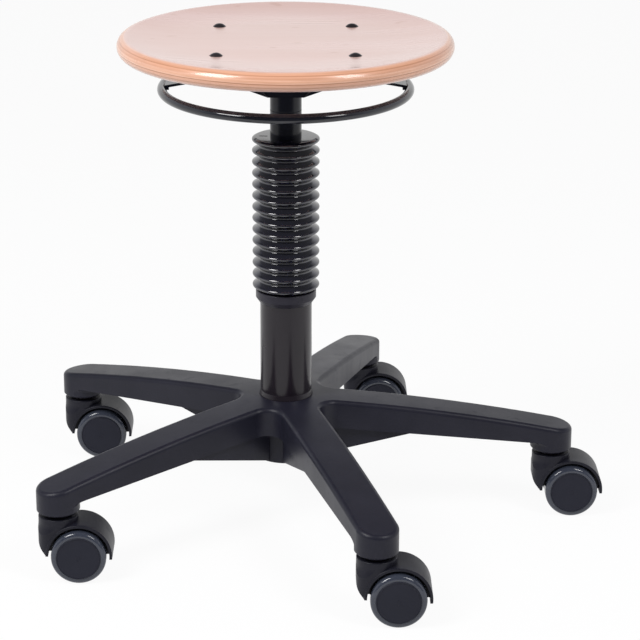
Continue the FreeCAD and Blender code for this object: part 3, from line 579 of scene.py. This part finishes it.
def spunMesh(name, outline, segments):
    # outline is a closed line of (radius, height) pairs and is turned about the Z axis
    vertices = []
    faces = []
    count = len(outline)
    for i in range(segments):
        turn = 2.0 * math.pi * i / segments
        for radius, height in outline:
            vertices.append((radius * math.cos(turn), radius * math.sin(turn), height))
    for i in range(segments):
        here = i * count
        after = (i + 1) % segments * count
        for j in range(count):
            k = (j + 1) % count
            faces.append((here + j, after + j, after + k, here + k))
    mesh = bpy.data.meshes.new(name)
    mesh.from_pydata(vertices, [], faces)
    mesh.update()
    return mesh


def finishPiece(mesh, body, slot, sharpAngle=35.0):
    piece = bpy.data.objects.new(mesh.name, mesh)
    bpy.context.scene.collection.objects.link(piece)
    mesh.materials.append(materials[slot])
    mesh.polygons.foreach_set("use_smooth", [True] * len(mesh.polygons))
    mesh.set_sharp_from_angle(angle=math.radians(sharpAngle))
    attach(piece, body)
    return piece


bellowsForm = {
    "bottom": 0.2307,
    "top": 0.382195,
    "firstRib": 0.2353,
    "pitch": 0.011115,
    "ribs": 14,
    "crest": 0.03225,
    "groove": 0.0260,
    "crestRound": 0.0016,
    "grooveRound": 0.0015,
    "shoulder": 0.0022,
    "wall": 0.0020,
    "crown": 0.0026,
    "hole": 0.0143,
    "footFlare": 0.0002,
    "topRound": ((0.0006, 0.0001), (0.0016, 0.0)),
    "segments": 192,
    "sharpAngle": 50.0,
    "lift": 0.100,
}


def bellowsOutline(form):
    crestX = form["crest"] - form["crestRound"]
    grooveX = form["groove"] + form["grooveRound"]
    half = form["pitch"] / 2.0
    span = math.hypot(grooveX - crestX, half)
    lean = math.degrees(math.atan2(half, grooveX - crestX))
    tilt = lean - math.degrees(math.acos((form["crestRound"] + form["grooveRound"]) / span))
    points = []
    for rib in range(form["ribs"]):
        middle = form["firstRib"] + rib * form["pitch"]
        last = rib == form["ribs"] - 1
        points += arcPoints((grooveX, middle - half), form["grooveRound"], 180.0, 180.0 - tilt, 5)[1:]
        if last:
            points += arcPoints((crestX, middle), form["crestRound"], -tilt, 70.0, 12)
        else:
            points += arcPoints((crestX, middle), form["crestRound"], -tilt, tilt, 10)
            points += arcPoints((grooveX, middle + half), form["grooveRound"], 180.0 + tilt, 180.0, 5)
    return [point for point in points if point[1] > form["bottom"]]


def makeBellows(form):
    skin = bellowsOutline(form)
    bore = form["groove"] - form["wall"]
    rim = form["crest"] - form["shoulder"]
    outline = [(bore, form["bottom"]), (form["groove"] + form["footFlare"], form["bottom"])]
    outline += skin
    outline += [(rim - inward, form["top"] - drop) for inward, drop in form["topRound"]]
    outline += [(form["hole"], form["top"]), (form["hole"], form["top"] - form["crown"])]
    outline += [(bore, form["top"] - form["crown"])]
    mesh = spunMesh("bellows_skin", outline, form["segments"])
    piece = finishPiece(mesh, "lift_core", "bellows_plastic", form["sharpAngle"])
    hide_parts("bellows")
    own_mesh(piece)


makeBellows(bellowsForm)
print("made the bellows")


rimForm = {
    "rim": (
        (0.01970, -0.0003), (0.01980, 0.00025), (0.01998, 0.00045),
        (0.02024, 0.00045), (0.02042, 0.00025), (0.02055, -0.0003),
    ),
    "cap": ((0.0018, -0.0003), (0.0019, 0.00010), (0.0022, 0.00018), (0.0026, 0.00010), (0.0027, -0.0003)),
    "segments": 96,
}


def placeOnSide(mesh, centre, outward):
    # turns a piece made about Z so that it lies on the outer face of a wheel
    turn = Matrix.Rotation(math.radians(-90.0 * outward), 4, "X")
    mesh.transform(Matrix.Translation(centre) @ turn)


def makeWheelRims(form):
    count = 0
    for side in casterSides:
        hoodLow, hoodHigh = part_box("hood_" + side)
        for letter in "ab":
            low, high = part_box("wheel_%s_%s" % (side, letter))
            middle = (low + high) / 2.0
            outward = 1.0 if middle.y > (hoodLow.y + hoodHigh.y) / 2.0 else -1.0
            face = Vector((middle.x, high.y if outward > 0.0 else low.y, middle.z))
            for part in ("rim", "cap"):
                name = "wheel_%s_%s_%s" % (part, side, letter)
                mesh = spunMesh(name, form[part], form["segments"])
                placeOnSide(mesh, face, outward)
                finishPiece(mesh, "roller_%s_%s" % (side, letter), "wheel_plastic")
                count += 1
    return count


print("made", makeWheelRims(rimForm), "rims on the wheels")


columnFoot = {
    "outline": (
        (0.0248, 0.1222), (0.0262, 0.1222), (0.0262, 0.1230), (0.0259, 0.1240),
        (0.0254, 0.1256), (0.02515, 0.1272), (0.0248, 0.1280),
    ),
    "segments": 128,
}

# each bead runs through its points; ripples is the number of scales of a weld on it
beads = {
    "lever_weld_left": {
        "body": "release", "slot": "ring_paint", "radius": 0.0014, "ripples": 9,
        "points": ((-0.1136, -0.0092, 0.4323), (-0.1139, 0.0, 0.4324), (-0.1136, 0.0092, 0.4323)),
    },
    "lever_weld_right": {
        "body": "release", "slot": "ring_paint", "radius": 0.0014, "ripples": 9,
        "points": ((0.1136, -0.0092, 0.4323), (0.1139, 0.0, 0.4324), (0.1136, 0.0092, 0.4323)),
    },
    "plate_weld_left": {
        "body": "seat", "slot": "socket_paint", "radius": 0.0009, "ripples": 5,
        "points": ((-0.0172, -0.01855, 0.4250), (-0.0232, -0.01855, 0.4312)),
    },
    "plate_weld_right": {
        "body": "seat", "slot": "socket_paint", "radius": 0.0009, "ripples": 5,
        "points": ((0.0172, -0.01855, 0.4250), (0.0232, -0.01855, 0.4312)),
    },
    "bellows_seam": {
        "body": "seat", "slot": "bellows_plastic", "radius": 0.0003, "ripples": 0,
        "points": ((-0.0255, 0.0004, 0.3822), (-0.0172, 0.0, 0.3822)),
    },
    "collar_latch": {
        "body": "lift_core", "slot": "collar_plastic", "radius": 0.0004, "ripples": 0,
        "points": ((0.01185, -0.02663, 0.2249), (0.0157, -0.02456, 0.2249), (0.0157, -0.02456, 0.2287)),
    },
}

beadForm = {"sides": 12, "steps": 10, "swell": 0.14, "endShare": 0.45, "sharpAngle": 60.0}


def beadMesh(name, values, form):
    sides = form["sides"]
    steps = form["steps"]
    points = [Vector(point) for point in values["points"]]
    path = [points[0]]
    for before, after in zip(points, points[1:]):
        path += [before.lerp(after, (i + 1) / steps) for i in range(steps)]
    vertices = []
    last = len(path) - 1
    for i, point in enumerate(path):
        ahead = (path[min(i + 1, last)] - path[max(i - 1, 0)]).normalized()
        across = ahead.orthogonal().normalized()
        upward = ahead.cross(across)
        swell = 1.0 + form["swell"] * math.sin(2.0 * math.pi * values["ripples"] * i / last)
        radius = values["radius"] * swell * (form["endShare"] if i in (0, last) else 1.0)
        for j in range(sides):
            turn = 2.0 * math.pi * j / sides
            vertices.append(point + (across * math.cos(turn) + upward * math.sin(turn)) * radius)
    faces = [tuple(reversed(range(sides))), tuple(range(last * sides, last * sides + sides))]
    for i in range(last):
        for j in range(sides):
            k = (j + 1) % sides
            faces.append((i * sides + j, i * sides + k, (i + 1) * sides + k, (i + 1) * sides + j))
    mesh = bpy.data.meshes.new(name)
    mesh.from_pydata([tuple(vertex) for vertex in vertices], [], faces)
    mesh.update()
    return mesh


finishPiece(spunMesh("column_foot", columnFoot["outline"], columnFoot["segments"]), "base", "black_steel")
for name, values in beads.items():
    finishPiece(beadMesh(name, values, beadForm), values["body"], values["slot"], beadForm["sharpAngle"])
print("made the column's foot and", len(beads), "beads")


# Floor, backdrop, light and camera

stageForm = {
    "front": -0.80,
    "back": 6.0,
    "half": 7.0,
    "height": 2.6,
    "curve": 1.5,
    "steps": 24,
    "colour": (0.90, 0.90, 0.92),
    "glow": 0.93,
}


def makeStage(form):
    profile = [(form["front"], 0.0)]
    for i in range(form["steps"] + 1):
        turn = math.radians(90.0 * i / form["steps"])
        profile.append((
            form["back"] - form["curve"] + form["curve"] * math.sin(turn),
            form["curve"] - form["curve"] * math.cos(turn),
        ))
    profile.append((form["back"], form["height"]))
    vertices = [(x, y, z) for y, z in profile for x in (-form["half"], form["half"])]
    faces = [(2 * i, 2 * i + 1, 2 * i + 3, 2 * i + 2) for i in range(len(profile) - 1)]
    mesh = bpy.data.meshes.new("sweep")
    mesh.from_pydata(vertices, [], faces)
    mesh.polygons.foreach_set("use_smooth", [True] * len(faces))
    sweep = bpy.data.objects.new("sweep", mesh)
    bpy.context.scene.collection.objects.link(sweep)
    mesh.materials.append(makeSweepMaterial(form))


def seenDirectly(tree):
    # 1 for camera, glossy and transmission rays, 0 for the rays that light the object
    path = addNode(tree, "ShaderNodeLightPath", (-600, 300))
    rays = path.outputs
    either = mathNode(tree, "MAXIMUM", (-350, 300), rays["Is Camera Ray"], rays["Is Glossy Ray"])
    return mathNode(tree, "MAXIMUM", (-200, 300), either, rays["Is Transmission Ray"])


def makeSweepMaterial(form):
    material = bpy.data.materials.new("sweep_paper")
    material.use_nodes = True
    tree = material.node_tree
    tree.nodes.clear()
    output = addNode(tree, "ShaderNodeOutputMaterial", (400, 0))
    matt = addNode(tree, "ShaderNodeBsdfDiffuse", (-100, -100))
    matt.inputs["Color"].default_value = (*form["colour"], 1.0)
    glow = addNode(tree, "ShaderNodeEmission", (-100, 100))
    blend = addNode(tree, "ShaderNodeMixShader", (150, 0))
    share = mathNode(tree, "MULTIPLY", (0, 300), seenDirectly(tree), form["glow"])
    tree.links.new(share, blend.inputs["Fac"])
    tree.links.new(matt.outputs["BSDF"], blend.inputs[1])
    tree.links.new(glow.outputs["Emission"], blend.inputs[2])
    tree.links.new(blend.outputs["Shader"], output.inputs["Surface"])
    material.cycles.emission_sampling = "NONE"
    return material


lightSetup = {
    "aim": (0.0, 0.0, 0.30),
    "fill": 0.36,
    "walls": 0.90,
    "ceiling": 0.12,
    "wallTop": (0.40, 0.66),
    "front": (-0.75, -0.10, 0.16),
    "tint": (0.93, 0.94, 1.0),
    "boxes": {
        "left": {
            "azimuth": -54.0, "elevation": 43.0, "distance": 1.9, "width": 0.65, "height": 0.92, "watts": 26.5,
        },
        "right": {
            "azimuth": 48.0, "elevation": 43.0, "distance": 1.9, "width": 0.45, "height": 0.92, "watts": 14.2,
        },
    },
}


def makeWorld(setup):
    # white for the camera; glossy surfaces see white walls under a dim ceiling, and a dim room in front
    world = bpy.data.worlds.new("studio")
    bpy.context.scene.world = world
    world.use_nodes = True
    tree = world.node_tree
    tree.nodes.clear()
    output = addNode(tree, "ShaderNodeOutputWorld", (600, 0))
    sky = addNode(tree, "ShaderNodeBackground", (400, 0))
    path = addNode(tree, "ShaderNodeLightPath", (-600, 300))
    place = addNode(tree, "ShaderNodeTexCoord", (-600, -200))
    split = addNode(tree, "ShaderNodeSeparateXYZ", (-400, -200))
    tree.links.new(place.outputs["Generated"], split.inputs["Vector"])
    walls = mapRange(
        tree, (-200, -200), split.outputs["Z"], *setup["wallTop"], setup["walls"], setup["ceiling"]
    )
    near, far, dim = setup["front"]
    front = mapRange(tree, (-200, -450), split.outputs["Y"], near, far, dim, 1.0)
    room = mathNode(tree, "MULTIPLY", (-100, -350), walls, front)
    rays = path.outputs
    seen = mathNode(tree, "MAXIMUM", (-200, 300), rays["Is Camera Ray"], rays["Is Transmission Ray"])
    fill = setup["fill"]
    plain = mathNode(tree, "MULTIPLY_ADD", (0, 200), seen, 1.0 - fill, fill)
    beyondFill = mathNode(tree, "SUBTRACT", (-50, -200), room, fill)
    mirrored = mathNode(tree, "MULTIPLY", (0, 0), rays["Is Glossy Ray"], beyondFill)
    tree.links.new(mathNode(tree, "ADD", (150, 0), mirrored, plain), sky.inputs["Strength"])
    tint = mixColour(tree, (200, -300), rays["Is Glossy Ray"], (1.0, 1.0, 1.0), setup["tint"])
    tree.links.new(tint, sky.inputs["Color"])
    tree.links.new(sky.outputs["Background"], output.inputs["Surface"])


def makeSoftBox(name, values, aim):
    lamp = bpy.data.lights.new(name, "AREA")
    lamp.shape = "RECTANGLE"
    lamp.size = values["width"]
    lamp.size_y = values["height"]
    lamp.energy = values["watts"]
    azimuth = math.radians(values["azimuth"])
    elevation = math.radians(values["elevation"])
    toLamp = Vector((
        math.sin(azimuth) * math.cos(elevation),
        -math.cos(azimuth) * math.cos(elevation),
        math.sin(elevation),
    ))
    holder = bpy.data.objects.new(name, lamp)
    bpy.context.scene.collection.objects.link(holder)
    holder.location = Vector(aim) + toLamp * values["distance"]
    holder.rotation_mode = "QUATERNION"
    holder.rotation_quaternion = (-toLamp).to_track_quat("-Z", "Y")


cameraView = {
    "place": (0.0, -2.286636, 0.991528),
    "down": 19.143,
    "yaw": 0.827,
    "roll": 0.215,
    "lens": 140.13,
    "sensor": 36.0,
}


def makeCamera(view):
    down, yaw, roll = (math.radians(view[name]) for name in ("down", "yaw", "roll"))
    ahead = Vector((math.sin(yaw) * math.cos(down), math.cos(yaw) * math.cos(down), -math.sin(down)))
    level = Vector((math.cos(yaw), -math.sin(yaw), 0.0))
    upright = level.cross(ahead)
    right = level * math.cos(roll) + upright * math.sin(roll)
    up = upright * math.cos(roll) - level * math.sin(roll)
    camera = bpy.data.cameras.new("view")
    camera.lens = view["lens"]
    camera.sensor_width = view["sensor"]
    holder = bpy.data.objects.new("view", camera)
    bpy.context.scene.collection.objects.link(holder)
    axes = Matrix((right, up, -ahead)).transposed().to_4x4()
    holder.matrix_world = Matrix.Translation(Vector(view["place"])) @ axes
    bpy.context.scene.camera = holder


makeStage(stageForm)
makeWorld(lightSetup)
for side, box in lightSetup["boxes"].items():
    makeSoftBox("softbox_" + side, box, lightSetup["aim"])
makeCamera(cameraView)
bpy.context.scene.view_settings.view_transform = "Standard"
print("set the stage, lights and camera")
